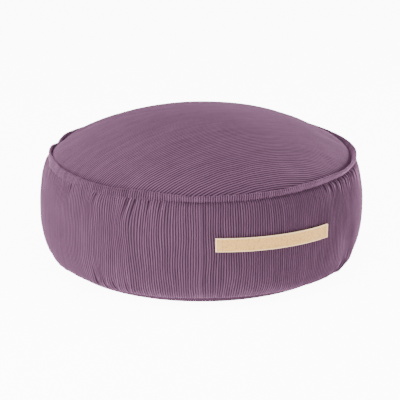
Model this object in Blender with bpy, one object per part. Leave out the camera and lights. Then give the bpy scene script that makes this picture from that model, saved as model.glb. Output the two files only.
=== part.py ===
"""Round corduroy floor pouf with flanged seams and a webbing carry handle.

Four pieces, in metres, +Z up.  The pouf stands on the plane z = 0 with its axis on the Z axis, and the
handle faces -Y.  A bearing is an angle in degrees round the axis, 0 at the handle and growing towards +X.
"""
from collections import namedtuple
from math import atan2, cos, degrees, exp, pi, radians, sin, tau

import bmesh
import bpy
from mathutils import Vector

# --- Driving sizes -------------------------------------------------------------------------------------
BAND_RADIUS = 0.300          # widest part of the side band
BAND_WIDEST_HEIGHT = 0.119
CROWN_HEIGHT = 0.2813        # middle of the top

BASE_RADIUS = 0.240          # flat disc that the pouf stands on
LOWER_SEAM_RADIUS = 0.2515
LOWER_SEAM_HEIGHT = 0.010
LOWER_SEAM_FACING = 95       # the way the drawn-in seam faces, in degrees from straight up
UPPER_SEAM_RADIUS = 0.2808
UPPER_SEAM_HEIGHT = 0.1930
UPPER_SEAM_FACING = 34
SEAM_FLOOR = 0.0054          # width of the drawn-in strip of skin that a flange covers

UPPER_ROUNDNESS = 1.54       # superellipse powers of the band above and below its widest height
LOWER_ROUNDNESS = 3.05
CROWN_FULLNESS = 0.774       # below 1 the crown fills out towards its seam
CROWN_SLUMP = 0.0191         # the filling lies a little higher on one side of the middle
CROWN_SLUMP_BEARING = -26

SEAM_LIP = 0.0042            # height over which the band curls in to a seam

FLANGE_THICKNESS = 0.0042
TOP_FLANGE_WIDTH = 0.0118
BOTTOM_FLANGE_WIDTH = 0.0146
BOTTOM_FLANGE_LEAN = 112     # degrees from straight up, so it points out and a little down
CLEARANCE = 0.0005           # between two pieces that are sewn together

HANDLE_WIDTH = 0.026
HANDLE_HALF_ANGLE = 21.8
HANDLE_HEIGHT = 0.1178       # of its middle
HANDLE_SLOPE = 0.006         # its left end is this much higher than its right end

SIDES = 144                  # facets round the pouf
BAND_RINGS = 11
CROWN_RINGS = 7

CORDUROY = {"color": (0.215, 0.120, 0.178, 1.0), "roughness": 0.92}
WEBBING = {"color": (0.690, 0.520, 0.340, 1.0), "roughness": 0.85}

# --- How the filling and the sewing make it uneven -----------------------------------------------------
# Swells and hollows of the whole side: a push outwards, centred on a bearing and a height.
Swell = namedtuple("Swell", "bearing height push bearing_spread height_spread")
SWELLS = [
    Swell(bearing=-95, height=0.090, push=0.0015, bearing_spread=28, height_spread=0.050),
    Swell(bearing=-62, height=0.040, push=-0.0022, bearing_spread=13, height_spread=0.022),
    Swell(bearing=-47, height=0.165, push=-0.0020, bearing_spread=10, height_spread=0.022),
    Swell(bearing=33, height=0.028, push=0.0012, bearing_spread=16, height_spread=0.022),
    Swell(bearing=58, height=0.100, push=0.0016, bearing_spread=20, height_spread=0.045),
    Swell(bearing=100, height=0.060, push=-0.0018, bearing_spread=22, height_spread=0.030),
    Swell(bearing=150, height=0.120, push=0.0018, bearing_spread=26, height_spread=0.050),
    Swell(bearing=-150, height=0.070, push=-0.0016, bearing_spread=24, height_spread=0.040),
    Swell(bearing=24, height=0.010, push=0.0075, bearing_spread=28, height_spread=0.017),
    Swell(bearing=-58, height=0.010, push=0.0045, bearing_spread=24, height_spread=0.017),
]

# Creases of the band.  Each starts at a seam, fades at its far end and leans to one side on its way.
Crease = namedtuple("Crease", "bearing lean start end depth half_width")
CREASES = [
    Crease(bearing=-78.6, lean=-1.0, start=0.189, end=0.172, depth=0.0022, half_width=2.6),
    Crease(bearing=-65.0, lean=-2.6, start=0.189, end=0.170, depth=0.0024, half_width=2.6),
    Crease(bearing=-52.4, lean=-2.4, start=0.189, end=0.142, depth=0.0036, half_width=2.8),
    Crease(bearing=-47.6, lean=-1.6, start=0.189, end=0.132, depth=0.0038, half_width=2.6),
    Crease(bearing=-42.6, lean=-1.6, start=0.189, end=0.146, depth=0.0034, half_width=2.6),
    Crease(bearing=25.2, lean=1.0, start=0.189, end=0.166, depth=0.0028, half_width=2.6),
    Crease(bearing=32.4, lean=0.0, start=0.189, end=0.160, depth=0.0028, half_width=2.6),
    Crease(bearing=40.4, lean=-1.0, start=0.189, end=0.158, depth=0.0030, half_width=2.8),
    Crease(bearing=48.2, lean=-1.0, start=0.189, end=0.158, depth=0.0028, half_width=2.8),
    Crease(bearing=-66.0, lean=1.5, start=0.016, end=0.058, depth=0.0032, half_width=2.6),
    Crease(bearing=-61.5, lean=-1.2, start=0.016, end=0.046, depth=0.0028, half_width=2.4),
    Crease(bearing=-57.0, lean=-0.9, start=0.016, end=0.044, depth=0.0026, half_width=2.4),
    Crease(bearing=-52.2, lean=-0.7, start=0.016, end=0.056, depth=0.0028, half_width=2.6),
    Crease(bearing=31.0, lean=0.8, start=0.016, end=0.050, depth=0.0030, half_width=2.6),
    Crease(bearing=36.5, lean=2.6, start=0.016, end=0.060, depth=0.0034, half_width=2.8),
    Crease(bearing=84.0, lean=1.5, start=0.189, end=0.155, depth=0.0030, half_width=2.8),
    Crease(bearing=112.0, lean=-1.5, start=0.016, end=0.055, depth=0.0030, half_width=2.8),
    Crease(bearing=128.0, lean=1.2, start=0.189, end=0.150, depth=0.0032, half_width=2.8),
    Crease(bearing=167.0, lean=-1.2, start=0.189, end=0.158, depth=0.0030, half_width=2.8),
    Crease(bearing=-160.0, lean=1.6, start=0.016, end=0.052, depth=0.0030, half_width=2.8),
    Crease(bearing=-128.0, lean=1.2, start=0.189, end=0.152, depth=0.0032, half_width=2.8),
    Crease(bearing=-108.0, lean=-1.2, start=0.016, end=0.050, depth=0.0028, half_width=2.6),
]

# The top flange leans outwards by a different angle from straight up as it goes round.
Lean = namedtuple("Lean", "bearing angle")
TOP_FLANGE_LEANS = [
    Lean(bearing=-180, angle=10),
    Lean(bearing=-150, angle=6),
    Lean(bearing=-141, angle=16),
    Lean(bearing=-134, angle=-6),
    Lean(bearing=-128, angle=-24),
    Lean(bearing=-121, angle=-2),
    Lean(bearing=-114, angle=4),
    Lean(bearing=-109, angle=0),
    Lean(bearing=-104, angle=-20),
    Lean(bearing=-97, angle=-22),
    Lean(bearing=-91, angle=-4),
    Lean(bearing=-84, angle=4),
    Lean(bearing=-78, angle=14),
    Lean(bearing=-66, angle=10),
    Lean(bearing=-56, angle=2),
    Lean(bearing=-43, angle=0),
    Lean(bearing=-37, angle=10),
    Lean(bearing=-30, angle=30),
    Lean(bearing=-18, angle=20),
    Lean(bearing=-5, angle=18),
    Lean(bearing=22, angle=24),
    Lean(bearing=45, angle=34),
    Lean(bearing=64, angle=36),
    Lean(bearing=84, angle=20),
    Lean(bearing=104, angle=12),
    Lean(bearing=140, angle=8),
    Lean(bearing=180, angle=10),
]

# Places where the upper seam is pulled up or down.
Rise = namedtuple("Rise", "bearing lift spread")
SEAM_RISES = [
    Rise(bearing=-129, lift=-0.0036, spread=6),
    Rise(bearing=-48, lift=0.0030, spread=8),
]

# The handle from its middle to one end: how far its inner face stands off, and the cloth's thickness.
Station = namedtuple("Station", "angle stand_off thickness")
HANDLE_STATIONS = [
    Station(angle=0.0, stand_off=0.0030, thickness=0.0018),
    Station(angle=10.0, stand_off=0.0027, thickness=0.0018),
    Station(angle=17.4, stand_off=0.0019, thickness=0.0018),
    Station(angle=18.2, stand_off=0.0006, thickness=0.0032),
    Station(angle=21.3, stand_off=0.0006, thickness=0.0032),
    Station(angle=21.8, stand_off=0.0009, thickness=0.0026),
]


# --- Small helpers -------------------------------------------------------------------------------------
def smooth(share):
    """Ease a share from 0 to 1."""
    share = min(1.0, max(0.0, share))
    return share * share * (3 - 2 * share)


def bell(distance, spread):
    """1 at no distance, falling away smoothly over the spread."""
    return exp(-(distance / spread) ** 2)


def turn_between(bearing, other):
    """The smaller angle between two bearings, in degrees, signed."""
    return (bearing - other + 180) % 360 - 180


def bearing_of(point):
    return degrees(atan2(point.x, -point.y))


def outwards(bearing):
    """Unit vector away from the axis."""
    return Vector((sin(radians(bearing)), -cos(radians(bearing)), 0))


def at(bearing, radius, height):
    return outwards(bearing) * radius + Vector((0, 0, height))


# --- The soft shape ------------------------------------------------------------------------------------
def crease_depth(crease, bearing, height):
    along = (height - crease.start) / (crease.end - crease.start)
    if along < -0.02 or along > 1:
        return 0.0
    middle = crease.bearing + crease.lean * along
    across = turn_between(bearing, middle) / crease.half_width
    rise = smooth(along * 6 + 0.4)
    return crease.depth * bell(across, 1.0) * rise * (1 - smooth(along))


def settle(point):
    """Move a point of the perfectly round pouf to where the uneven filling and sewing leave it."""
    bearing = bearing_of(point)
    push = 0.0
    for swell in SWELLS:
        near = bell(turn_between(bearing, swell.bearing), swell.bearing_spread)
        push += swell.push * near * bell(point.z - swell.height, swell.height_spread)
    for crease in CREASES:
        push -= crease_depth(crease, bearing, point.z)
    # the upper seam wanders up and down, and the rim of the crown with it
    wander = 0.0012 * sin(radians(3 * bearing + 20)) + 0.0007 * sin(radians(7 * bearing - 50))
    for rise in SEAM_RISES:
        wander += rise.lift * bell(turn_between(bearing, rise.bearing), rise.spread)
    upper = smooth((point.z - 0.12) / 0.06)
    # the base stays flat, and the middle of the crown stays in place
    push *= smooth(point.z / 0.02)
    outer = smooth(point.xy.length / BASE_RADIUS)
    # the crown's filling has slumped to one side
    share = min(point.xy.length / UPPER_SEAM_RADIUS, 1.0)
    slump = CROWN_SLUMP * share * (1 - share ** 2) ** 2 * cos(radians(bearing - CROWN_SLUMP_BEARING))
    settled = point + (outwards(bearing) * push + Vector((0, 0, wander * upper))) * outer
    return settled + Vector((0, 0, slump * upper))


def seam_floor(radius, height, facing):
    """The two edges of a seam's drawn-in strip: the band's side first for the upper seam."""
    across = SEAM_FLOOR / 2 * cos(radians(facing))
    along = SEAM_FLOOR / 2 * sin(radians(facing))
    return (radius + across, height - along), (radius - across, height + along)


def cushion_profile():
    """Radius and height of the skin, from the rim of the flat base up to the middle of the crown."""
    lower = seam_floor(LOWER_SEAM_RADIUS, LOWER_SEAM_HEIGHT, LOWER_SEAM_FACING)
    upper = seam_floor(UPPER_SEAM_RADIUS, UPPER_SEAM_HEIGHT, UPPER_SEAM_FACING)
    points = [(BASE_RADIUS, 0.0), (LOWER_SEAM_RADIUS - 0.003, 0.0016), *lower]

    # the band bulges from one seam to the other
    bottom = lower[1][1] + SEAM_LIP
    top = upper[0][1] - SEAM_LIP
    for ring in range(BAND_RINGS + 1):
        share = (1 - cos(pi * ring / BAND_RINGS)) / 2
        height = bottom + (top - bottom) * share
        if height > BAND_WIDEST_HEIGHT:
            edge, power = UPPER_SEAM_RADIUS + SEAM_LIP, UPPER_ROUNDNESS
            away = (height - BAND_WIDEST_HEIGHT) / (top + SEAM_LIP - BAND_WIDEST_HEIGHT)
        else:
            edge, power = LOWER_SEAM_RADIUS, LOWER_ROUNDNESS
            away = (BAND_WIDEST_HEIGHT - height) / (BAND_WIDEST_HEIGHT - LOWER_SEAM_HEIGHT)
        points.append((edge + (BAND_RADIUS - edge) * (1 - away ** power) ** (1 / power), height))
    points.extend(upper)

    # the crown rises steeply from its seam and is nearly flat in the middle
    foot_radius, foot_height = upper[1]
    for ring in range(1, CROWN_RINGS):
        radius = foot_radius * cos(pi / 2 * ring / CROWN_RINGS) ** 0.8
        rise = (1 - (radius / foot_radius) ** 2) ** CROWN_FULLNESS
        points.append((radius, foot_height + (CROWN_HEIGHT - foot_height) * rise))
    points.append((0.0, CROWN_HEIGHT))
    return points


def spin_profile(bm, profile, closed):
    """Turn a profile of radii and heights round the axis."""
    verts = [bm.verts.new(at(0, radius, height)) for radius, height in profile]
    edges = [bm.edges.new(pair) for pair in zip(verts, verts[1:])]
    if closed:
        edges.append(bm.edges.new((verts[-1], verts[0])))
    bmesh.ops.spin(bm, geom=verts + edges, axis=(0, 0, 1), cent=(0, 0, 0), angle=tau, steps=SIDES,
                   use_merge=True)
    bmesh.ops.remove_doubles(bm, verts=bm.verts[:], dist=0.00001)


def material(name, look):
    mat = bpy.data.materials.new(name)
    mat.use_nodes = True
    shader = mat.node_tree.nodes["Principled BSDF"]
    shader.inputs["Base Color"].default_value = look["color"]
    shader.inputs["Roughness"].default_value = look["roughness"]
    shader.inputs["Metallic"].default_value = 0.0
    mat.diffuse_color = look["color"]
    return mat


def finish(bm, name, look, sharp_angle):
    """Turn the mesh outwards and make it an object."""
    bmesh.ops.recalc_face_normals(bm, faces=bm.faces[:])
    if bm.calc_volume(signed=True) < 0:
        bmesh.ops.reverse_faces(bm, faces=bm.faces[:])
    mesh = bpy.data.meshes.new(name)
    bm.to_mesh(mesh)
    bm.free()
    mesh.shade_smooth()
    mesh.set_sharp_from_angle(angle=radians(sharp_angle))
    mesh.materials.append(material(name + " cloth", look))
    obj = bpy.data.objects.new(name, mesh)
    bpy.context.scene.collection.objects.link(obj)
    return obj


# --- The pieces ----------------------------------------------------------------------------------------
def make_cushion():
    """The filled body: flat base, bulging band, drawn-in seams and crowned top, as one solid."""
    bm = bmesh.new()
    spin_profile(bm, cushion_profile(), closed=False)
    rim = [edge for edge in bm.edges if edge.is_boundary]
    bmesh.ops.contextual_create(bm, geom=rim)
    for vert in bm.verts:
        vert.co = settle(vert.co)
    return finish(bm, "cushion", CORDUROY, sharp_angle=50)


def lean_at(bearing):
    """Lean of the top flange at a bearing, eased between the rows of the table."""
    bearing = turn_between(bearing, 0)
    for low, high in zip(TOP_FLANGE_LEANS, TOP_FLANGE_LEANS[1:]):
        if low.bearing <= bearing <= high.bearing:
            share = smooth((bearing - low.bearing) / (high.bearing - low.bearing))
            return low.angle + (high.angle - low.angle) * share
    return TOP_FLANGE_LEANS[-1].angle


def flange_section(width):
    """Closed outline of a folded flange, as (along its width, across its thickness)."""
    half = FLANGE_THICKNESS / 2
    return [
        (0.0, -half),
        (width - half, -half),
        (width, 0.0),
        (width - half, half),
        (0.0, half),
    ]


def make_flange(name, seam_radius, seam_height, facing, width, lean_of):
    """A ridge of folded cloth on a seam, leaning from straight up by lean_of(bearing) degrees."""
    root_radius = seam_radius + CLEARANCE * sin(radians(facing))
    root_height = seam_height + CLEARANCE * cos(radians(facing))
    bm = bmesh.new()
    # the section goes round upright, and is leaned at each bearing afterwards
    outline = [(root_radius + across, root_height + along) for along, across in flange_section(width)]
    spin_profile(bm, outline, closed=True)
    for vert in bm.verts:
        bearing = bearing_of(vert.co)
        across = vert.co.xy.length - root_radius
        along = vert.co.z - root_height
        # the root lies flat on the seam's strip, and the rest follows the lean
        angle = radians(lean_of(bearing) if along > CLEARANCE else facing)
        radius = root_radius + along * sin(angle) + across * cos(angle)
        height = root_height + along * cos(angle) - across * sin(angle)
        vert.co = settle(at(bearing, radius, height))
    return finish(bm, name, CORDUROY, sharp_angle=60)


def station_at(angle):
    """Stand-off and thickness of the handle at an angle from its middle."""
    angle = abs(angle)
    for low, high in zip(HANDLE_STATIONS, HANDLE_STATIONS[1:]):
        if angle <= high.angle:
            share = smooth((angle - low.angle) / (high.angle - low.angle))
            stand_off = low.stand_off + (high.stand_off - low.stand_off) * share
            return stand_off, low.thickness + (high.thickness - low.thickness) * share
    return HANDLE_STATIONS[-1].stand_off, HANDLE_STATIONS[-1].thickness


def handle_angles():
    """Angles of the handle's sections: even along its length, closer at the folded ends."""
    ends = [station.angle for station in HANDLE_STATIONS[2:]]
    middle = [ends[0] * step / 9 for step in range(-8, 9)]
    return [-angle for angle in reversed(ends)] + middle + ends


def make_handle():
    """A strip of webbing sewn flat at both ends, its ends folded under, a few millimetres off between."""
    bm = bmesh.new()
    sections = []
    for angle in handle_angles():
        stand_off, thickness = station_at(angle)
        middle = HANDLE_HEIGHT - HANDLE_SLOPE / 2 * angle / HANDLE_HALF_ANGLE
        inner = BAND_RADIUS + stand_off
        corners = []
        for side, radius in ((-1, inner), (-1, inner + thickness), (1, inner + thickness), (1, inner)):
            corner = at(angle, radius, middle + side * HANDLE_WIDTH / 2)
            corners.append(bm.verts.new(settle(corner)))
        sections.append(corners)
    for before, after in zip(sections, sections[1:]):
        for corner in range(4):
            nearby = (corner + 1) % 4
            bm.faces.new((before[corner], before[nearby], after[nearby], after[corner]))
    bm.faces.new(sections[0])
    bm.faces.new(sections[-1])
    return finish(bm, "handle", WEBBING, sharp_angle=35)


def build():
    for obj in list(bpy.data.objects):
        bpy.data.objects.remove(obj, do_unlink=True)
    make_cushion()
    make_flange("top_flange", UPPER_SEAM_RADIUS, UPPER_SEAM_HEIGHT, UPPER_SEAM_FACING,
                TOP_FLANGE_WIDTH, lean_at)
    make_flange("bottom_flange", LOWER_SEAM_RADIUS, LOWER_SEAM_HEIGHT, LOWER_SEAM_FACING,
                BOTTOM_FLANGE_WIDTH, lambda bearing: BOTTOM_FLANGE_LEAN)
    make_handle()


build()
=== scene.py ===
# %% [markdown]
# # A corduroy floor pouf
#
# A low round pouf is sewn from two discs and a band of corduroy, filled until it bulges, and finished
# with a folded flange along both edges and a carry handle of flat webbing.
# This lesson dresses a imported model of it.  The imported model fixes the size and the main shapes, and the
# script adds what makes it cloth: the ribs, the seams, the puckers, the thread and the light.

# %% Load the fixed model
from collections import namedtuple

import bmesh
import bpy
import numpy as np
from mathutils import Matrix, Vector, kdtree


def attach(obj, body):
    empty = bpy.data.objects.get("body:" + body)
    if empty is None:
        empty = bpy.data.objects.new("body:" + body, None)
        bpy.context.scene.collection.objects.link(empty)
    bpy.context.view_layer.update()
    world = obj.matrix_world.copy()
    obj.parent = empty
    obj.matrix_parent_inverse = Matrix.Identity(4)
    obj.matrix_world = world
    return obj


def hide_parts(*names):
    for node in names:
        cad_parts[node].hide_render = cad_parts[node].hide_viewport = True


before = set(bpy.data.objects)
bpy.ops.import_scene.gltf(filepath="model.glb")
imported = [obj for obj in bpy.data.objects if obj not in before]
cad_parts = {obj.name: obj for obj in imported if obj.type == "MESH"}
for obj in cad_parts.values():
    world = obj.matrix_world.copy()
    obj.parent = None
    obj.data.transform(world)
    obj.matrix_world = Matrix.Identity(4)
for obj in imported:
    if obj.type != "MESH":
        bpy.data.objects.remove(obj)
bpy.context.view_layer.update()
print("packed nodes:", sorted(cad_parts))

# %% [markdown]
# ## Where things are
#
# Everything on a round pouf is easiest to say as a *bearing*, in degrees round the axis, and a height.
# Bearing 0 is the middle of the handle, on -Y, and bearings grow towards +X.
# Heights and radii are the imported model's, in metres.  Only the lower flange, which is narrower and
# pressed further down, and the handle, which is a little smaller, depart from it.

# %% Sizes
CROWN_HEIGHT = 0.2813
BAND_RADIUS = 0.300
BAND_WIDEST_HEIGHT = 0.119
BASE_RADIUS = 0.240
LOWER_SEAM_RADIUS, LOWER_SEAM_HEIGHT = 0.2515, 0.010
UPPER_SEAM_RADIUS, UPPER_SEAM_HEIGHT = 0.2808, 0.193
SEAM_LIP = 0.0042
UPPER_ROUNDNESS, LOWER_ROUNDNESS = 1.54, 3.05
CROWN_FULLNESS = 0.774
CROWN_SLUMP, CROWN_SLUMP_BEARING = 0.0191, -26
FLANGE_THICKNESS = 0.0042
TOP_FLANGE_WIDTH, BOTTOM_FLANGE_WIDTH = 0.0118, 0.0126
BOTTOM_FLANGE_RADIUS, BOTTOM_FLANGE_TOP = 0.2529, 0.0130
BOTTOM_FLANGE_LEAN = 163          # degrees from straight up, so it is pressed down under the band
HANDLE_HEIGHT, HANDLE_SLOPE, HANDLE_WIDTH = 0.1183, 0.006, 0.0252
HANDLE_START, HANDLE_END = -21.7, 20.8          # bearings of its two ends

WALES_ROUND = 432                 # ribs round the band, 4.4 mm apart where it is widest
WALE_PITCH = 2 * np.pi * BAND_RADIUS / WALES_ROUND
WALE_HEIGHT = 0.0012
FRONT_JOIN = -25.6                # bearing of the band's upright join
BACK_JOIN = FRONT_JOIN + 180
CAMERA_BEARING = -26.3            # the pouf is seen from a little left of its handle


# %% Helpers for bearings
def smooth(share):
    share = np.clip(share, 0.0, 1.0)
    return share * share * (3 - 2 * share)


def bell(distance, spread):
    return np.exp(-(distance / spread) ** 2)


def turn_between(bearing, other):
    return (bearing - other + 180) % 360 - 180


def bearing_of(points):
    return np.degrees(np.arctan2(points[:, 0], -points[:, 1]))


def outwards(bearing):
    turn = np.radians(bearing)
    return np.stack([np.sin(turn), -np.cos(turn), np.zeros_like(turn)], axis=1)


# %% [markdown]
# ## Uneven filling
#
# No filled cloth is perfectly round.  Broad swells come from how the filling has settled, and the upper
# seam wanders a little.  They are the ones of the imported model, so the cloth lies where it says.

# %% Swells
Swell = namedtuple("Swell", "bearing height push bearing_spread height_spread")
SWELLS = [Swell(*row) for row in (
    # bearing, height, push, bearing spread, height spread
    (-95, 0.09, 0.0015, 28, 0.05),
    (-62, 0.04, -0.0022, 13, 0.022),
    (-47, 0.165, -0.002, 10, 0.022),
    (33, 0.028, 0.0012, 16, 0.022),
    (58, 0.1, 0.0016, 20, 0.045),
    (100, 0.06, -0.0018, 22, 0.03),
    (150, 0.12, 0.0018, 26, 0.05),
    (-150, 0.07, -0.0016, 24, 0.04),
    (24, 0.01, 0.0075, 28, 0.017),
    (-58, 0.01, 0.0045, 24, 0.017),
)]
Rise = namedtuple("Rise", "bearing lift spread")
SEAM_RISES = [Rise(bearing=-129, lift=-0.0036, spread=6), Rise(bearing=-48, lift=0.0030, spread=8)]
SEAM_WANDERS = [(0.0012, 3, 20), (0.0007, 7, -50)]       # lift, waves round the pouf, start


def settle(points):
    """Move points of the perfectly round pouf to where its uneven filling leaves them."""
    bearing = bearing_of(points)
    height = points[:, 2]
    push = np.zeros(len(points))
    for swell in SWELLS:
        near = bell(turn_between(bearing, swell.bearing), swell.bearing_spread)
        push += swell.push * near * bell(height - swell.height, swell.height_spread)
    wander = sum(lift * np.sin(np.radians(waves * bearing + start)) for lift, waves, start in SEAM_WANDERS)
    for rise in SEAM_RISES:
        wander += rise.lift * bell(turn_between(bearing, rise.bearing), rise.spread)
    upper = smooth((height - 0.12) / 0.06)
    radius = np.hypot(points[:, 0], points[:, 1])
    outer = smooth(radius / BASE_RADIUS)
    share = np.minimum(radius / UPPER_SEAM_RADIUS, 1.0)
    slump = CROWN_SLUMP * share * (1 - share ** 2) ** 2 * np.cos(np.radians(bearing - CROWN_SLUMP_BEARING))
    moved = points + outwards(bearing) * (push * smooth(height / 0.02) * outer)[:, None]
    moved[:, 2] += (wander * outer + slump) * upper
    return moved


# %% [markdown]
# ## Let the cloth puff up
#
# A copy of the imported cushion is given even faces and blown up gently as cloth, held along both seams
# and under its base.  Where it is held it has to pucker, which no formula does as well.
# Only the unevenness is kept: the average swelling is taken off again, so the pouf keeps its size, and
# what is left is softened, because a filled cloth has dimples but no wrinkles as small as the mesh.

# %% Simulate the puckers
FORM_VOXEL = 0.0065
SEAM_GRIP = 0.009
PUCKER_LIMIT = 0.0028
PUCKER_ROUNDS = 8
PUCKER_NEIGHBOURS = 4
PUFF_PRESSURE = 4
PUFF_FRAMES = 20


def read_vectors(items, field):
    flat = np.empty(len(items) * 3, np.float32)
    items.foreach_get(field, flat)
    return flat.reshape(-1, 3).astype(float)


def mesh_coords(mesh):
    return read_vectors(mesh.vertices, "co")


def mesh_normals(mesh):
    return read_vectors(mesh.vertex_normals, "vector")


def set_coords(mesh, points):
    mesh.vertices.foreach_set("co", points.astype(np.float32).ravel())
    mesh.update()


def set_all(thing, **values):
    for name, value in values.items():
        setattr(thing, name, value)


def add_object(name, data):
    thing = bpy.data.objects.new(name, data)
    bpy.context.scene.collection.objects.link(thing)
    return thing


def evaluated_mesh(obj):
    graph = bpy.context.evaluated_depsgraph_get()
    return bpy.data.meshes.new_from_object(obj.evaluated_get(graph), depsgraph=graph)


def even_form():
    """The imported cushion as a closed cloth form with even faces."""
    bm = bmesh.new()
    bm.from_mesh(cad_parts["cushion"].data)
    bmesh.ops.remove_doubles(bm, verts=bm.verts[:], dist=0.00001)
    mesh = bpy.data.meshes.new("form")
    bm.to_mesh(mesh)
    bm.free()
    form = add_object("form", mesh)
    remesh = form.modifiers.new("even faces", "REMESH")
    remesh.mode = "VOXEL"
    remesh.voxel_size = FORM_VOXEL
    form.data = evaluated_mesh(form)
    form.modifiers.clear()
    return form


def held_points(points):
    """Points that a seam or the floor holds still."""
    radius = np.hypot(points[:, 0], points[:, 1])
    from_upper = np.hypot(radius - UPPER_SEAM_RADIUS, points[:, 2] - UPPER_SEAM_HEIGHT)
    from_lower = np.hypot(radius - LOWER_SEAM_RADIUS, points[:, 2] - LOWER_SEAM_HEIGHT)
    return (from_upper < SEAM_GRIP) | (from_lower < SEAM_GRIP) | (points[:, 2] < 0.004)


def puff(form):
    """Blow the form up as cloth and return where each point ends."""
    held = form.vertex_groups.new(name="held")
    start = mesh_coords(form.data)
    held.add([int(i) for i in np.flatnonzero(held_points(start))], 1.0, "REPLACE")
    cloth = form.modifiers.new("cloth", "CLOTH")
    set_all(cloth.settings, quality=6, mass=0.25, tension_stiffness=20, compression_stiffness=12,
            shear_stiffness=6, bending_stiffness=0.25, vertex_group_mass="held", shrink_min=-0.035,
            use_pressure=True, uniform_pressure_force=PUFF_PRESSURE)
    cloth.settings.effector_weights.gravity = 0
    cloth.collision_settings.use_collision = False
    scene = bpy.context.scene
    for step in range(1, PUFF_FRAMES + 1):
        scene.frame_set(step)
    end = mesh_coords(evaluated_mesh(form))
    form.modifiers.clear()
    scene.frame_set(1)
    return end


def soften(mesh, values, rounds):
    """Share each point's value with the points it is joined to."""
    ends = np.empty(len(mesh.edges) * 2, int)
    mesh.edges.foreach_get("vertices", ends)
    one, two = ends.reshape(-1, 2).T
    joined = np.maximum(np.bincount(ends, minlength=len(values)), 1)
    for _ in range(rounds):
        around = np.bincount(one, values[two], len(values)) + np.bincount(two, values[one], len(values))
        values = (values + around / joined) / 2
    return values


class Puckers:
    """The uneven part of the simulated swelling, which any point near the form can look up."""

    def __init__(self):
        self.tree = None
        form = even_form()
        start = mesh_coords(form.data)
        moved = puff(form) - start
        along = np.sum(moved * mesh_normals(form.data), axis=1)
        # take the average swelling off, ring by ring along the profile
        radius = np.hypot(start[:, 0], start[:, 1])
        ring = np.arctan2(start[:, 2] - UPPER_SEAM_HEIGHT / 2, radius)
        edges = np.linspace(ring.min(), ring.max(), 60)
        which = np.digitize(ring, edges)
        for number in np.unique(which):
            along[which == number] -= along[which == number].mean()
        along = soften(form.data, along, PUCKER_ROUNDS)
        self.along = np.clip(along, -PUCKER_LIMIT, PUCKER_LIMIT)
        self.tree = kdtree.KDTree(len(start))
        for index, point in enumerate(start):
            self.tree.insert(point, index)
        self.tree.balance()
        bpy.data.objects.remove(form)
        print("puckers, mm:", *np.round([self.along.min() * 1000, self.along.max() * 1000], 1))

    def at(self, points):
        if self.tree is None:
            return np.zeros(len(points))
        near = [self.tree.find_n(point, PUCKER_NEIGHBOURS) for point in points]
        which = np.array([[index for _, index, _ in group] for group in near])
        weight = 1 / (np.array([[distance for _, _, distance in group] for group in near]) + 0.003) ** 2
        return np.sum(self.along[which] * weight, axis=1) / np.sum(weight, axis=1)


puckers = Puckers()

# %% [markdown]
# ## Creases listed one by one
#
# Simulation gives chance puckers.  The creases that give this pouf its character are listed one by one,
# as soft troughs with a little shoulder on each side.  Each starts at a seam and fades as it runs along the
# ribs, and it drags the ribs sideways, because it is the cloth's spare width that has gone into it.

# %% Creases
Crease = namedtuple("Crease", "bearing lean start end depth half_width")
TOP, LOW = 0.191, 0.014           # heights at which creases leave the two seams
CREASES = [Crease(*row) for row in (
    # bearing, lean, start, end, depth, half width
    (-78.6, -0.8, TOP, 0.17, 0.003, 0.6),
    (-65.0, -2.6, TOP, 0.166, 0.0034, 0.7),
    (-52.2, -2.6, TOP, 0.142, 0.005, 0.75),
    (-49.3, -1.2, TOP, 0.132, 0.0044, 0.65),
    (-44.3, -1.0, TOP, 0.146, 0.0046, 0.7),
    (-39.9, -1.8, TOP, 0.15, 0.004, 0.7),
    (22.1, 0.0, TOP, 0.174, 0.003, 0.6),
    (25.4, 0.8, TOP, 0.164, 0.004, 0.7),
    (28.6, 0.4, TOP, 0.17, 0.0032, 0.6),
    (32.1, -0.3, TOP, 0.16, 0.0044, 0.7),
    (36.2, -0.6, TOP, 0.166, 0.0036, 0.6),
    (40.4, -1.0, TOP, 0.16, 0.0044, 0.75),
    (44.2, -0.8, TOP, 0.168, 0.0034, 0.6),
    (48.2, -1.0, TOP, 0.16, 0.004, 0.75),
    (-66.4, 1.6, LOW, 0.062, 0.0046, 0.8),
    (-61.3, -1.6, LOW, 0.048, 0.0042, 0.7),
    (-57.4, -0.8, LOW, 0.046, 0.0036, 0.7),
    (-52.2, -0.8, LOW, 0.058, 0.0038, 0.7),
    (-88.0, 0.8, LOW, 0.04, 0.0034, 0.8),
    (31.2, 1.0, LOW, 0.052, 0.0042, 0.8),
    (34.6, 4.2, LOW, 0.062, 0.0048, 0.8),
    (84.0, 1.5, TOP, 0.155, 0.004, 0.8),
    (112.0, -1.5, LOW, 0.055, 0.004, 0.8),
    (128.0, 1.2, TOP, 0.15, 0.0042, 0.8),
    (132.0, 0.8, TOP, 0.162, 0.0034, 0.7),
    (167.0, -1.2, TOP, 0.158, 0.004, 0.8),
    (-160.0, 1.6, LOW, 0.052, 0.004, 0.8),
    (-128.0, 1.2, TOP, 0.152, 0.0042, 0.8),
    (-124.4, 0.9, TOP, 0.164, 0.0034, 0.7),
    (-108.0, -1.2, LOW, 0.05, 0.0038, 0.8),
)]


def crease_push(bearing, height):
    """How far the creases draw the band in (negative) or raise it."""
    push = np.zeros(len(bearing))
    for crease in CREASES:
        along = (height - crease.start) / (crease.end - crease.start)
        across = turn_between(bearing, crease.bearing) / crease.half_width
        strength = smooth(along * 8 + 0.5) * (1 - smooth(along)) * (along < 1)
        trough = bell(across, 1.0) - 0.35 * bell(np.abs(across) - 2.1, 0.9)
        push -= crease.depth * strength * trough
    return push


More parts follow.
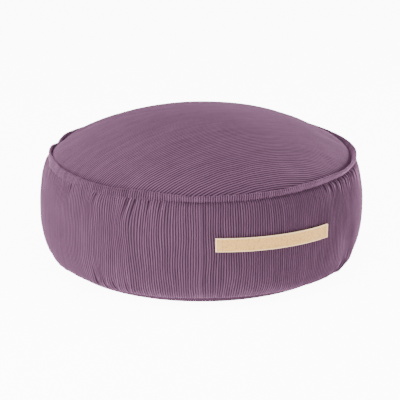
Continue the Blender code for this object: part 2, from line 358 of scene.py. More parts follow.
def rib_drift(bearing, height):
    """Degrees by which the ribs stray sideways: a little everywhere, and more beside each crease."""
    drift = 0.14 * np.sin(np.radians(9 * bearing) + 50 * height)
    drift += 0.08 * np.sin(np.radians(23 * bearing + 40) - 85 * height)
    for crease in CREASES:
        along = np.maximum((height - crease.start) / (crease.end - crease.start), 0)
        away = turn_between(bearing, crease.bearing)
        near = bell(away, 1.8 + 0.8 * abs(crease.lean))
        drift += 0.9 * crease.lean * along * np.exp(-along ** 2 / 1.4) * near
        pulled = away / (2.5 * crease.half_width)
        drift -= 0.32 * pulled * bell(pulled, 1.0) * (1 - smooth(along))
    return drift


# %% [markdown]
# ## Gathers and joins
#
# All along both seams the spare cloth is eased into little tucks.  There are too many to place, so chance
# sets their size and spacing, from a fixed seed.  The band's two joins are placed: a turned-in edge lies
# under each, as a soft ridge that pressing has flattened, with a hollow beside it where the thread pulls.

# %% Small gathers along the seams
def small_gathers(bearing, from_seam, count, seed, reach, depth):
    """Little tucks all along a seam, of uneven size and spacing but the same at each run."""
    chance = np.random.default_rng(seed)
    push = np.zeros(len(bearing))
    for number in range(count):
        middle = (number + chance.uniform(-0.4, 0.4)) * 360 / count
        across = turn_between(bearing, middle) / chance.uniform(0.35, 0.75)
        fade = 1 - smooth(from_seam / (reach * chance.uniform(0.5, 1.4)))
        size = depth * chance.uniform(0.2, 1.0)
        push -= size * fade * (bell(across, 1.0) - 0.3 * bell(np.abs(across) - 2, 0.9))
    return push


def gather_push(bearing, height):
    """Gathers are stronger on the left, where more spare cloth was eased into the upper seam."""
    upper = small_gathers(bearing, UPPER_SEAM_HEIGHT - 0.003 - height, 110, 5, 0.020, 0.0012)
    lower = small_gathers(bearing, height - LOWER_SEAM_HEIGHT - 0.003, 120, 6, 0.014, 0.0016)
    eased = 0.35 + 0.65 * bell(turn_between(bearing, -80), 55) + 0.5 * bell(turn_between(bearing, 120), 60)
    return upper * eased + lower


# %% The upright joins of the band
def join_push(bearing):
    """A soft ridge over the turned-in edge, and a hollow where the stitching pulls beside it."""
    push = np.zeros(len(bearing))
    for join in (FRONT_JOIN, BACK_JOIN):
        away = turn_between(bearing, join)
        push += 0.0007 * bell(away + 0.55, 0.6) - 0.0011 * bell(away - 0.9, 0.9)
    return push


def join_flatness(bearing):
    """1 on the turned-in edge beside a join, where pressing has flattened the pile, and 0 elsewhere."""
    flat = [bell(turn_between(bearing, join) + 0.62, 0.38) for join in (FRONT_JOIN, BACK_JOIN)]
    return np.maximum(*flat)


# %% [markdown]
# ## The ribs
#
# Corduroy is a plain ground with rows of cut pile, the wales.  Each wale is modelled as a real ridge,
# because the ribs catch the light along the whole side and break up the outline.
# Every piece of corduroy carries values on its points for its material: how high up a rib a point is, a
# tone that changes from rib to rib, as pile does where it has been brushed, with painted light added on
# some whole pieces, the way the smooth cloth faces, and how strong the painted sheen is there.
# A UV map counts ribs one way and runs along them the other.

# %% Rib relief
RIB_STEPS = 6                     # columns of faces to a rib


def rib_height(phase):
    """Height of a wale from 0 in its channel to 1 on its crest; phase counts ribs."""
    return np.abs(np.sin(np.pi * phase)) ** 0.7


def rib_tone(phase, seed):
    """One tone to a rib, from -1 to 1, shared by the rib's columns."""
    chance = np.random.default_rng(seed).uniform(-1, 1, 4096)
    number = np.floor(phase + 1e-6).astype(int)
    before = chance[(number - 1) % 4096]
    here = chance[number % 4096]
    in_channel = rib_height(phase) < 0.05
    return np.where(in_channel, (before + here) / 2, here)


def store(mesh, **layers):
    """Keep values or directions on the points, for a material to read."""
    for name, values in layers.items():
        kind, field = ("FLOAT_VECTOR", "vector") if values.ndim == 2 else ("FLOAT", "value")
        layer = mesh.attributes.new(name, kind, "POINT")
        layer.data.foreach_set(field, values.astype(np.float32).ravel())


def store_uv(mesh, name, across, along):
    """Make a UV map from two values of each point."""
    corner = np.empty(len(mesh.loops), int)
    mesh.loops.foreach_get("vertex_index", corner)
    mesh.uv_layers.new(name=name).data.foreach_set("uv", np.stack([across, along], axis=1)[corner].ravel())


def raise_ribs(mesh, phase, run, seed, strength=1.0, flatness=0.0, pale=0.0, bloom=0.9):
    """Lift a smooth cloth mesh into ribs and store what its material needs; run is metres along a rib."""
    # pale is painted light: it raises the tone, and with it the colour, of a whole piece, and lowers it
    # where it is below 0
    tone = rib_tone(phase, seed) * min(strength, 1.0) ** 2 + pale
    height = rib_height(phase) * (1 - flatness) + 0.7 * flatness
    lift = WALE_HEIGHT * strength * (height - 0.5) * (1 + 0.22 * (tone - pale))
    form = mesh_normals(mesh)
    set_coords(mesh, mesh_coords(mesh) + form * np.reshape(lift, (-1, 1)))
    store(mesh, form=form, bloom=np.full(len(form), bloom), rib=height, tone=tone)
    store_uv(mesh, "ribs", phase, run / WALE_PITCH)


# %% [markdown]
# ## The side band
#
# The band is wider than cloth is woven, so it is two lengths with upright joins.
# Each half is one profile spun half way round, with six columns of faces to a rib.
# Its back is closed with a plain inner wall, so that it is a body and not a film.

# %% Band profile
BAND_ROWS = 58
TUCK_DEPTH = 0.0034               # how far the cloth dives in under the flange
TUCK_HEIGHT = 0.0080
EDGE_FULLNESS = 0.0024            # how much fuller the band is where it runs straight up into the flange
EDGE_FROM, EDGE_OVER = 0.178, 0.013


def tuck_share(bearing):
    """1 where the flange leans out over the band, 0 on the left, where the band runs straight up into it."""
    return smooth(np.abs(turn_between(bearing, -73)) / 12 - 2.0)


def cloth_length(radius, height):
    """Length along a profile from its first point to each point."""
    return np.concatenate([[0], np.cumsum(np.hypot(np.diff(radius), np.diff(height)))])


def band_radius(height):
    top = UPPER_SEAM_HEIGHT - SEAM_LIP * 0.5
    upper_edge = UPPER_SEAM_RADIUS + SEAM_LIP
    above = np.clip((height - BAND_WIDEST_HEIGHT) / (top + 0.001 - BAND_WIDEST_HEIGHT), 0, 1)
    below = np.clip((BAND_WIDEST_HEIGHT - height) / (BAND_WIDEST_HEIGHT - LOWER_SEAM_HEIGHT), 0, 1)
    upper = upper_edge + (BAND_RADIUS - upper_edge) * (1 - above ** UPPER_ROUNDNESS) ** (1 / UPPER_ROUNDNESS)
    lower = LOWER_SEAM_RADIUS + (BAND_RADIUS - LOWER_SEAM_RADIUS) * (
        1 - below ** LOWER_ROUNDNESS) ** (1 / LOWER_ROUNDNESS)
    return np.where(height > BAND_WIDEST_HEIGHT, upper, lower)


def band_profile():
    """Radius and height of the band from its lower to its upper edge, in even steps along the cloth."""
    height = np.linspace(LOWER_SEAM_HEIGHT + 0.00005, UPPER_SEAM_HEIGHT + 0.0012, 4000)
    radius = band_radius(height)
    radius -= 0.0020 * (1 - smooth((height - LOWER_SEAM_HEIGHT - 0.0015) / 0.006))
    length = cloth_length(radius, height)
    even = np.linspace(0, length[-1], BAND_ROWS + 1)
    return np.interp(even, length, radius), np.interp(even, length, height)


def spin_cloth(profile, start, sweep, ribs, rib_steps, closed=False, whole=False):
    """Spin (radius, height) points round the axis, a step for each rib, then divide each rib's faces."""
    bm = bmesh.new()
    away = outwards(np.array([start]))[0]
    verts = [bm.verts.new((away[0] * r, away[1] * r, z)) for r, z in profile]
    edges = [bm.edges.new(pair) for pair in zip(verts, verts[1:])]
    if closed:
        edges.append(bm.edges.new((verts[-1], verts[0])))
    bmesh.ops.spin(bm, geom=verts + edges, axis=(0, 0, 1), cent=(0, 0, 0), angle=np.radians(sweep),
                   steps=ribs, use_merge=whole)
    bm.verts.index_update()
    turn = [np.degrees(np.arctan2(vert.co.x, -vert.co.y)) for vert in bm.verts]
    across = [edge for edge in bm.edges
              if abs(turn_between(turn[edge.verts[0].index], turn[edge.verts[1].index])) > 0.1]
    bmesh.ops.subdivide_edges(bm, edges=across, cuts=rib_steps - 1, use_grid_fill=True)
    return bm


# %% Finishing any cloth piece
def new_piece(name, mesh, mat):
    piece = add_object(name, mesh)
    mesh.name = name
    mesh.shade_smooth()
    mesh.materials.clear()
    mesh.materials.append(mat)
    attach(piece, "root")
    print(name, "has", sum(len(face.vertices) - 2 for face in mesh.polygons), "triangles")
    return piece


def to_mesh(bm, name):
    mesh = bpy.data.meshes.new(name)
    bm.to_mesh(mesh)
    bm.free()
    return mesh


def reshape(mesh, change):
    """Open a mesh as a bmesh, change it and write it back."""
    bm = bmesh.new()
    bm.from_mesh(mesh)
    change(bm)
    bm.to_mesh(mesh)
    bm.free()


def fill_holes(bm):
    bmesh.ops.holes_fill(bm, edges=[edge for edge in bm.edges if edge.is_boundary], sides=0)


def reverse(bm):
    bmesh.ops.reverse_faces(bm, faces=bm.faces[:])


def face_outwards(mesh):
    """Turn a closed mesh the right way out."""
    def turn(bm):
        bmesh.ops.recalc_face_normals(bm, faces=bm.faces[:])
        if bm.calc_volume(signed=True) < 0:
            reverse(bm)
    reshape(mesh, turn)


# %% [markdown]
# ## Materials
#
# Corduroy, webbing and thread share one node group, for the fuzz of fibres and a slower cloud of wear.
# The corduroy is darker down its ribs and in its channels, partly the bare ground and partly painted shade,
# a little different from rib to rib, and clouded where the pile has been stroked one way or the other.
# Its pile is paler where it is looked along than where it is looked into.  The sheen socket alone left
# the edges too dark, so a Layer Weight also raises the base colour there, a painted sheen.  That part
# turns with the view, and an exported model loses it.

# %% Node helpers
def add_node(tree, kind, **values):
    node = tree.nodes.new(kind)
    set_all(node, **values)
    return node


def new_group(name, inputs, outputs):
    """An empty shader group with named sockets; returns it with its input and output nodes."""
    group = bpy.data.node_groups.new(name, "ShaderNodeTree")
    for label, kind, default in inputs:
        socket = group.interface.new_socket(label, in_out="INPUT", socket_type=kind)
        socket.default_value = default
    for label, kind in outputs:
        group.interface.new_socket(label, in_out="OUTPUT", socket_type=kind)
    return group, group.nodes.new("NodeGroupInput"), group.nodes.new("NodeGroupOutput")


def math_node(tree, operation, first, second):
    node = add_node(tree, "ShaderNodeMath", operation=operation)
    for slot, value in zip(node.inputs, (first, second)):
        if isinstance(value, (int, float)):
            slot.default_value = value
        else:
            tree.links.new(value, slot)
    return node.outputs[0]


def multiply_add(tree, value, factor, offset):
    result = math_node(tree, "MULTIPLY_ADD", value, factor)
    result.node.inputs[2].default_value = offset
    return result


def noise(tree, vector, scale, detail=2.0, roughness=0.5):
    node = add_node(tree, "ShaderNodeTexNoise")
    set_inputs(node, Scale=scale, Detail=detail, Roughness=roughness)
    tree.links.new(vector, node.inputs["Vector"])
    return node.outputs["Fac"]


def mix_colors(tree, blend, factor, first, second):
    node = add_node(tree, "ShaderNodeMix", data_type="RGBA", blend_type=blend)
    for socket, value in ((node.inputs[0], factor), (node.inputs[6], first), (node.inputs[7], second)):
        if isinstance(value, (int, float, tuple)):
            socket.default_value = value
        else:
            tree.links.new(value, socket)
    return node.outputs[2]


def new_material(name):
    mat = bpy.data.materials.new(name)
    mat.use_nodes = True
    return mat, mat.node_tree, mat.node_tree.nodes["Principled BSDF"]


def set_inputs(node, **values):
    """Set sockets by name, with _ for a space."""
    for label, value in values.items():
        node.inputs[label.replace("_", " ")].default_value = value


def point_value(tree, name, output="Fac"):
    return add_node(tree, "ShaderNodeAttribute", attribute_name=name).outputs[output]


def add_bump(tree, shader, height, strength, distance):
    bump = add_node(tree, "ShaderNodeBump")
    set_inputs(bump, Strength=strength, Distance=distance)
    tree.links.new(height, bump.inputs["Height"])
    tree.links.new(bump.outputs["Normal"], shader.inputs["Normal"])


# %% Shared group: fibres and wear
def fibre_group():
    """Fine fuzz for any cloth: a mask of short fibres and a slower cloud of wear."""
    inputs = [
        ("Vector", "NodeSocketVector", (0, 0, 0)),
        ("Fibre Scale", "NodeSocketFloat", 1500.0),
        ("Cloud Scale", "NodeSocketFloat", 14.0),
    ]
    outputs = [("Fibre", "NodeSocketFloat"), ("Cloud", "NodeSocketFloat")]
    group, enter, leave = new_group("cloth fibres", inputs, outputs)
    for label, scale, detail in (("Fibre", "Fibre Scale", 3.0), ("Cloud", "Cloud Scale", 4.0)):
        texture = add_node(group, "ShaderNodeTexNoise")
        texture.inputs["Detail"].default_value = detail
        group.links.new(enter.outputs["Vector"], texture.inputs["Vector"])
        group.links.new(enter.outputs[scale], texture.inputs["Scale"])
        group.links.new(texture.outputs["Fac"], leave.inputs[label])
    return group


cloth_fibres = fibre_group()


def fibres(tree, vector, fibre_scale, cloud_scale):
    node = add_node(tree, "ShaderNodeGroup", node_tree=cloth_fibres)
    set_inputs(node, Fibre_Scale=fibre_scale, Cloud_Scale=cloud_scale)
    tree.links.new(vector, node.inputs["Vector"])
    return node.outputs["Fibre"], node.outputs["Cloud"]


def ramp(tree, factor, stops):
    node = add_node(tree, "ShaderNodeValToRGB")
    elements = node.color_ramp.elements
    while len(elements) < len(stops):
        elements.new(0.5)
    for element, (position, color) in zip(elements, stops):
        element.position = position
        element.color = color
    tree.links.new(factor, node.inputs["Fac"])
    return node.outputs["Color"]


# %% Corduroy
# Down a rib into its channel the colour darkens: partly the bare ground between the wales, partly painted
# shade on the flanks and in the channels.
CHANNEL_GROUND_AND_SHADE = (0.008, 0.003, 0.006, 1.0)
FLANK_PILE_AND_SHADE = (0.051, 0.023, 0.043, 1.0)
PILE_COLOR = (0.123, 0.059, 0.105, 1.0)


def corduroy():
    """Ribbed pile: channels darkened partly by painted shade, paler crests, streaks, clouds, and sheen
    partly painted into the base colour.
    """
    mat, tree, shader = new_material("mauve corduroy")
    place = add_node(tree, "ShaderNodeTexCoord").outputs["Object"]
    rib, tone = point_value(tree, "rib"), point_value(tree, "tone")
    fibre, cloud = fibres(tree, place, 1400.0, 9.0)

    # streaks follow the ribs: a rib wide and several centimetres long
    stretched = add_node(tree, "ShaderNodeMapping")
    stretched.inputs["Scale"].default_value = (0.9, 0.11, 1.0)
    ribs_map = add_node(tree, "ShaderNodeUVMap", uv_map="ribs").outputs["UV"]
    tree.links.new(ribs_map, stretched.inputs["Vector"])
    streak = noise(tree, stretched.outputs["Vector"], 1.0)

    # painted sheen in the base colour: where the cloth is looked along, the colour moves from the dark
    # ground to the pale tips and is brightened, by the stored sheen strength
    form, bloom = point_value(tree, "form", "Vector"), point_value(tree, "bloom")
    slant = add_node(tree, "ShaderNodeLayerWeight")
    slant.inputs["Blend"].default_value = 0.5
    tree.links.new(form, slant.inputs["Normal"])
    sheen_shift = math_node(tree, "POWER", slant.outputs["Facing"], 2.0)
    sheen_shift = math_node(tree, "MULTIPLY", sheen_shift, multiply_add(tree, rib, -1.0, 1.0))
    seen = math_node(tree, "ADD", rib, sheen_shift)
    by_painted_sheen = math_node(tree, "MULTIPLY", math_node(tree, "POWER", slant.outputs["Facing"], 1.5), bloom)
    by_painted_sheen = math_node(tree, "ADD", by_painted_sheen, 1.0)
    # painted shade: the colour darkens with the stored rib height, from the crest down the flanks into the
    # channel
    color = ramp(tree, seen, [(0.0, CHANNEL_GROUND_AND_SHADE), (0.60, FLANK_PILE_AND_SHADE), (1.0, PILE_COLOR)])
    # from rib to rib, along each rib, and in clouds where the pile lies another way; the tone also carries
    # each piece's painted light
    by_rib = multiply_add(tree, tone, 0.15, 1.0)
    by_streak = multiply_add(tree, streak, 0.4, 0.80)
    by_cloud = multiply_add(tree, cloud, 0.24, 0.88)
    by_fibre = multiply_add(tree, fibre, 0.5, 0.75)
    shade = by_rib
    for factor in (by_streak, by_cloud, by_fibre, by_painted_sheen):
        shade = math_node(tree, "MULTIPLY", shade, factor)
    grey = add_node(tree, "ShaderNodeCombineColor")
    for channel in range(3):
        tree.links.new(shade, grey.inputs[channel])
    tree.links.new(mix_colors(tree, "MULTIPLY", 1.0, color, grey.outputs[0]), shader.inputs["Base Color"])

    add_bump(tree, shader, fibre, strength=0.35, distance=0.0004)
    set_inputs(shader, Roughness=0.95, Specular_IOR_Level=0.15, Sheen_Weight=0.13, Sheen_Roughness=0.36,
               Sheen_Tint=(1.0, 0.49, 0.85, 1.0))
    return mat


corduroy_cloth = corduroy()
print(corduroy_cloth.name, "has", len(corduroy_cloth.node_tree.nodes), "nodes")

# %% [markdown]
# ## Webbing and thread
#
# The handle is flat woven tape.  Its weave is too fine to model, so two crossing waves draw it on the
# tape's own map in millimetres, which keeps it straight round the bend.  Its edges and folded ends are
# painted paler, a painted highlight along all four sides.

# %% Webbing and thread
WEB_COLOR = (0.800, 0.445, 0.136, 1.0)
WEB_SHADE = (0.460, 0.228, 0.060, 1.0)
WEB_EDGE_HIGHLIGHT = (0.950, 0.670, 0.350, 1.0)
THREAD_COLOR = (0.450, 0.260, 0.100, 1.0)
EDGE_HIGHLIGHT_WIDTH = 2.4                    # how wide the painted highlight along the tape's edges and ends is, in mm
HANDLE_LENGTH = np.radians(HANDLE_END - HANDLE_START) * BAND_RADIUS * 1000


def webbing():
    """Flat woven tape: a fine twill with a painted highlight along its edges and ends, on the tape's own UV
    in millimetres.
    """
    mat, tree, shader = new_material("cream webbing")
    tape = add_node(tree, "ShaderNodeUVMap", uv_map="tape").outputs["UV"]
    place = add_node(tree, "ShaderNodeTexCoord").outputs["Object"]
    fibre, cloud = fibres(tree, place, 1100.0, 300.0)

    twill = add_node(tree, "ShaderNodeTexWave", wave_type="BANDS", bands_direction="DIAGONAL")
    set_inputs(twill, Scale=0.30, Distortion=1.2, Detail=1.0)
    picks = add_node(tree, "ShaderNodeTexWave", wave_type="BANDS", bands_direction="X")
    set_inputs(picks, Scale=0.28, Distortion=0.5)
    for wave in (twill, picks):
        tree.links.new(tape, wave.inputs["Vector"])
    threads = math_node(tree, "ADD", twill.outputs["Fac"], picks.outputs["Fac"])
    threads = math_node(tree, "MULTIPLY", threads, 0.5)

    woven = multiply_add(tree, threads, 0.40, -0.30)
    woven = math_node(tree, "ADD", woven, math_node(tree, "MULTIPLY", fibre, 0.45))
    woven = math_node(tree, "ADD", woven, math_node(tree, "MULTIPLY", cloud, 1.30))
    color = ramp(tree, woven, [(0.40, WEB_SHADE), (0.85, WEB_COLOR)])
    across = add_node(tree, "ShaderNodeSeparateXYZ")
    tree.links.new(tape, across.inputs[0])
    # painted highlight: the selvedges and the folded ends are painted paler than the face
    edges = []
    for side, half in (("Y", HANDLE_WIDTH * 500), ("X", HANDLE_LENGTH / 2)):
        from_middle = math_node(tree, "ABSOLUTE", across.outputs[side], 0.0)
        edges.append(multiply_add(tree, from_middle, 2.0 / EDGE_HIGHLIGHT_WIDTH, 2.0 - 2 * half / EDGE_HIGHLIGHT_WIDTH))
        edges[-1].node.use_clamp = True
    color = mix_colors(tree, "MIX", math_node(tree, "MAXIMUM", *edges), color, WEB_EDGE_HIGHLIGHT)
    tree.links.new(color, shader.inputs["Base Color"])

    add_bump(tree, shader, woven, strength=0.6, distance=0.0003)
    set_inputs(shader, Roughness=0.85, Specular_IOR_Level=0.2, Sheen_Weight=0.15)
    return mat


def thread():
    """Twisted thread, a little darker in patches."""
    mat, tree, shader = new_material("cream thread")
    place = add_node(tree, "ShaderNodeTexCoord").outputs["Object"]
    fibre, _ = fibres(tree, place, 2500.0, 60.0)
    dark = tuple(0.7 * value for value in THREAD_COLOR[:3]) + (1.0,)
    tree.links.new(ramp(tree, fibre, [(0.3, dark), (0.7, THREAD_COLOR)]), shader.inputs["Base Color"])
    set_inputs(shader, Roughness=0.6)
    return mat


webbing_cloth = webbing()
cream_thread = thread()

# %% Make the band
def make_band(name, start, seed):
    """Half of the band, from one join to the other."""
    radii, heights = band_profile()
    mesh = to_mesh(spin_cloth(zip(radii, heights), start, 180, WALES_ROUND // 2, RIB_STEPS), name)
    points = mesh_coords(mesh)
    bearing, height = bearing_of(points), points[:, 2].copy()
    phase = (turn_between(bearing, start + 90) + 90) * WALES_ROUND / 360

    # the seams keep the cloth still, and between them its ribs stray and it swells and creases
    free = smooth((height - LOWER_SEAM_HEIGHT) / 0.012) * smooth((UPPER_SEAM_HEIGHT - height) / 0.010)
    strayed = bearing + rib_drift(bearing, height)
    points = outwards(strayed) * np.hypot(points[:, 0], points[:, 1])[:, None]
    points[:, 2] = height
    settled = settle(points)
    tuck = smooth((height - (UPPER_SEAM_HEIGHT - TUCK_HEIGHT)) / TUCK_HEIGHT) ** 2 * tuck_share(bearing)
    push = crease_push(bearing, height) + gather_push(bearing, height) - TUCK_DEPTH * tuck
    push += EDGE_FULLNESS * smooth((height - EDGE_FROM) / EDGE_OVER) * (1 - tuck_share(bearing))
    push += (join_push(bearing) + puckers.at(settled)) * free
    set_coords(mesh, settled + outwards(strayed) * push[:, None])
    raise_ribs(mesh, phase, height, seed, strength=1.15, flatness=join_flatness(bearing))

    def close_back(bm):
        """A plain wall from edge to edge, then the two ends."""
        sides = [edge for edge in bm.edges if edge.is_boundary
                 and abs(turn_between(*(bearing[vert.index] for vert in edge.verts))) > 0.01]
        bmesh.ops.bridge_loops(bm, edges=sides)
        fill_holes(bm)

    reshape(mesh, close_back)
    face_outwards(mesh)
    piece = new_piece(name, mesh, corduroy_cloth)
    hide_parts("cushion")
    return piece


make_band("band_right", FRONT_JOIN, seed=11)
make_band("band_left", BACK_JOIN, seed=12)

# %% [markdown]
# ## The top and bottom panels
#
# The discs are cut from the same cloth, so their ribs run straight across, the way the handle does.
# A square grid is drawn out to a disc, row by row, so that its rows stay the ribs.

# %% Panels
PANEL_STEPS = 96
PRESS_BEARING, PRESS_SPREAD = -104, 18
PRESS_RISE = 0.0045               # the filling presses up against the flange at the back left


def crown_meridian():
    """Radius, height and length along the cloth, from the middle of the crown out to its seam."""
    foot_radius = UPPER_SEAM_RADIUS - 0.0016
    foot_height = UPPER_SEAM_HEIGHT + 0.0012
    share = np.sin(np.linspace(0, np.pi / 2, 400))
    radius = foot_radius * share
    height = foot_height + (CROWN_HEIGHT - 0.0002 - foot_height) * (1 - share ** 2) ** CROWN_FULLNESS
    # the last of it dives down beside the flange
    height -= 0.0036 * smooth((radius - foot_radius) / 0.009 + 1) ** 2
    length = cloth_length(radius, height)
    return radius, height, length


def base_meridian():
    """The same for the bottom panel: flat, then curling up to the lower seam."""
    radius = np.array([0, 0.1, 0.2, BASE_RADIUS, BASE_RADIUS + 0.006, LOWER_SEAM_RADIUS - 0.001])
    height = np.array([0.0005, 0.0005, 0.0005, 0.0005, 0.0025, LOWER_SEAM_HEIGHT])
    length = cloth_length(radius, height)
    return radius, height, length


def make_panel(name, meridian, rib_steps, steps, seed, strength, pale, facing):
    """A disc of cloth; facing is 1 for the top and -1 for the bottom."""
    radius, height, length = meridian
    wales = int(2 * length[-1] / WALE_PITCH)
    bm = bmesh.new()
    bmesh.ops.create_grid(bm, x_segments=steps, y_segments=wales * rib_steps, size=1.0)
    mesh = to_mesh(bm, name)
    square = mesh_coords(mesh)
    across = np.sign(square[:, 1]) * np.interp(np.abs(square[:, 1]) * length[-1], length, radius)
    half_chord = np.sqrt(np.maximum(radius[-1] ** 2 - across ** 2, 0))
    spread = np.interp(np.abs(square[:, 0]) * length[-1], length, radius) / radius[-1]
    along = np.sign(square[:, 0]) * half_chord * spread
    from_middle = np.hypot(along, across)
    settled = settle(np.stack([along, across, np.interp(from_middle, radius, height)], axis=1))
    if facing > 0:
        from_seam = radius[-1] - from_middle
        settled[:, 2] += puckers.at(settled) * smooth(from_seam / 0.02)
        pressed = bell(turn_between(bearing_of(settled), PRESS_BEARING), PRESS_SPREAD)
        settled[:, 2] += PRESS_RISE * pressed * smooth(from_seam / 0.003) * (1 - smooth(from_seam / 0.04))
    set_coords(mesh, settled)
    if facing < 0:
        reshape(mesh, reverse)
    raise_ribs(mesh, (square[:, 1] + 1) / 2 * wales, along, seed, strength, pale=pale, bloom=0.15)
    reshape(mesh, lambda bm: bmesh.ops.remove_doubles(bm, verts=bm.verts[:], dist=0.00002))
    reshape(mesh, fill_holes)
    face_outwards(mesh)
    piece = new_piece(name, mesh, corduroy_cloth)
    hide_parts("cushion")
    return piece


# the top panel is painted 1.15 times paler: painted light on the crown
make_panel("top_panel", crown_meridian(), RIB_STEPS, PANEL_STEPS, 21, strength=0.68, pale=1.0, facing=1)
make_panel("bottom_panel", base_meridian(), 4, 40, 22, strength=0.5, pale=0.0, facing=-1)

# %% [markdown]
# ## The flanges
#
# Both edges are finished with a flange: the seam allowances are folded together and stitched through,
# which leaves a soft ridge standing out of the seam.  Its section is spun round the pouf.  The upper one
# then leans by a different angle as it goes, because no one sews such a ridge dead straight.  The lower
# one is pressed down under the band, so that its face turns outwards.

# %% Flanges
Lean = namedtuple("Lean", "bearing angle")
TOP_FLANGE_LEANS = [Lean(*row) for row in (          # bearing, angle
    (-180, 10), (-150, 6), (-141, 16), (-134, -6), (-128, -24), (-121, -2), (-114, 4),
    (-109, 0), (-104, -20), (-97, -22), (-91, -4), (-84, 4), (-78, 14), (-66, 10),
    (-56, 2), (-43, 0), (-37, 10), (-30, 30), (-18, 20), (-5, 18), (22, 24),
    (45, 34), (64, 36), (84, 20), (104, 12), (140, 8), (180, 10),
)]


def top_lean(bearing):
    """Lean of the top flange, eased between the rows of the table."""
    bearing = turn_between(bearing, 0)
    lean = np.full(len(bearing), float(TOP_FLANGE_LEANS[-1].angle))
    for low, high in zip(TOP_FLANGE_LEANS, TOP_FLANGE_LEANS[1:]):
        between = (bearing >= low.bearing) & (bearing <= high.bearing)
        share = smooth((bearing[between] - low.bearing) / (high.bearing - low.bearing))
        lean[between] = low.angle + (high.angle - low.angle) * share
    ripple = 3.0 * np.sin(np.radians(11 * bearing + 30)) + 2.0 * np.sin(np.radians(23 * bearing))
    return lean + ripple


FLANGE_RIBS = 1.2                 # the ribs stand out more where the cloth is bent over them
FLANGE_ROOT = 0.0054              # how far the band's cloth fills out the foot of the upper flange
# the lower flange, in the shadow of the band, is painted about 1.75 times paler: painted light
LOWER_FLATNESS, LOWER_PAINTED_LIGHT = 0.8, 5.0


def flange_section(width):
    """Outline of the folded ridge, as (along its width, across its thickness)."""
    half = FLANGE_THICKNESS / 2
    rise = np.linspace(-0.0015, width - half, 9)
    body = half * (0.72 + 0.28 * smooth((rise + 0.001) / (width * 0.6)))
    turn = np.radians([-60, -20, 20, 60])
    outer = list(zip(rise, body))
    fold = [(width - half + half * np.cos(a), half * np.sin(-a)) for a in turn]
    inner = list(zip(rise[::-1], -body[::-1]))
    return outer + fold + inner


def make_flange(name, seam_radius, seam_height, width, lean_of, root_of, flatness, painted_light_of, seed):
    """Spin a flange's section; root_of says how far the band's cloth fills out its outer foot."""
    section = flange_section(width)
    profile = [(seam_radius + across, seam_height + along) for along, across in section]
    mesh = to_mesh(spin_cloth(profile, BACK_JOIN, 360, WALES_ROUND, 4, closed=True, whole=True), name)
    points = mesh_coords(mesh)
    bearing = bearing_of(points)
    across = np.hypot(points[:, 0], points[:, 1]) - seam_radius
    along = points[:, 2] - seam_height
    across += root_of(bearing) * smooth(across / 0.001) * (1 - smooth(along / width))
    lean = np.radians(lean_of(bearing))
    radius = seam_radius + along * np.sin(lean) + across * np.cos(lean)
    height = seam_height + along * np.cos(lean) - across * np.sin(lean)
    leaned = outwards(bearing) * radius[:, None]
    leaned[:, 2] = height
    set_coords(mesh, settle(leaned))
    face_outwards(mesh)
    phase = (turn_between(bearing, FRONT_JOIN) + 180) * WALES_ROUND / 360
    raise_ribs(mesh, phase, along, seed, FLANGE_RIBS * (1 - flatness), flatness, painted_light_of(bearing))
    piece = new_piece(name, mesh, corduroy_cloth)
    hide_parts(name.replace("_cloth", ""))
    return piece


# the upper flange is painted darker where it runs flush into the band and paler where it leans out over it:
# painted shade and painted light
make_flange("top_flange_cloth", UPPER_SEAM_RADIUS, UPPER_SEAM_HEIGHT, TOP_FLANGE_WIDTH, top_lean,
            lambda bearing: FLANGE_ROOT * (1 - tuck_share(bearing)), 0.0,
            lambda bearing: 1.4 * tuck_share(bearing) - 0.8, 31)
make_flange("bottom_flange_cloth", BOTTOM_FLANGE_RADIUS, BOTTOM_FLANGE_TOP, BOTTOM_FLANGE_WIDTH,
            lambda bearing: np.full(len(bearing), float(BOTTOM_FLANGE_LEAN)),
            lambda bearing: np.zeros(len(bearing)), LOWER_FLATNESS, lambda bearing: LOWER_PAINTED_LIGHT, 32)

# %% [markdown]
# ## The handle
#
# The webbing is sewn flat at both ends, each end folded under so that no raw edge shows, and stands a
# few millimetres off the side between them.

# %% Handle
Station = namedtuple("Station", "angle stand_off thickness")
HANDLE_STATIONS = [Station(*row) for row in (
    # angle, stand-off, thickness
    (0.0, 0.003, 0.0018),
    (10.0, 0.0027, 0.0018),
    (17.4, 0.0019, 0.0018),
    (18.2, 0.0006, 0.0032),
    (19.1, 0.0006, 0.0032),
    (19.4, 0.0006, 0.0025),
    (19.7, 0.0006, 0.0032),
    (21.3, 0.0006, 0.0032),
    (21.8, 0.0009, 0.0026),
)]


def handle_station(angle):
    """Stand-off and thickness of the tape at an angle from the handle's middle."""
    angles, stand_offs, thicknesses = zip(*HANDLE_STATIONS)
    return [np.interp(np.abs(angle), angles, values) for values in (stand_offs, thicknesses)]


def handle_section():
    """Outline of the tape, as (share of its width, share of its thickness), with rounded selvedges."""
    across = np.array([-1, -0.97, -0.93, -0.88, -0.5, 0, 0.5, 0.88, 0.93, 0.97, 1])
    outer = np.array([0.55, 0.86, 1.03, 0.97, 0.96, 0.96, 0.96, 0.97, 1.03, 0.86, 0.55])
    face = list(zip(across, outer))
    back = [(a, 1 - b) for a, b in zip(across[::-1], outer[::-1])]
    return face + back


HANDLE_STEPS = 260


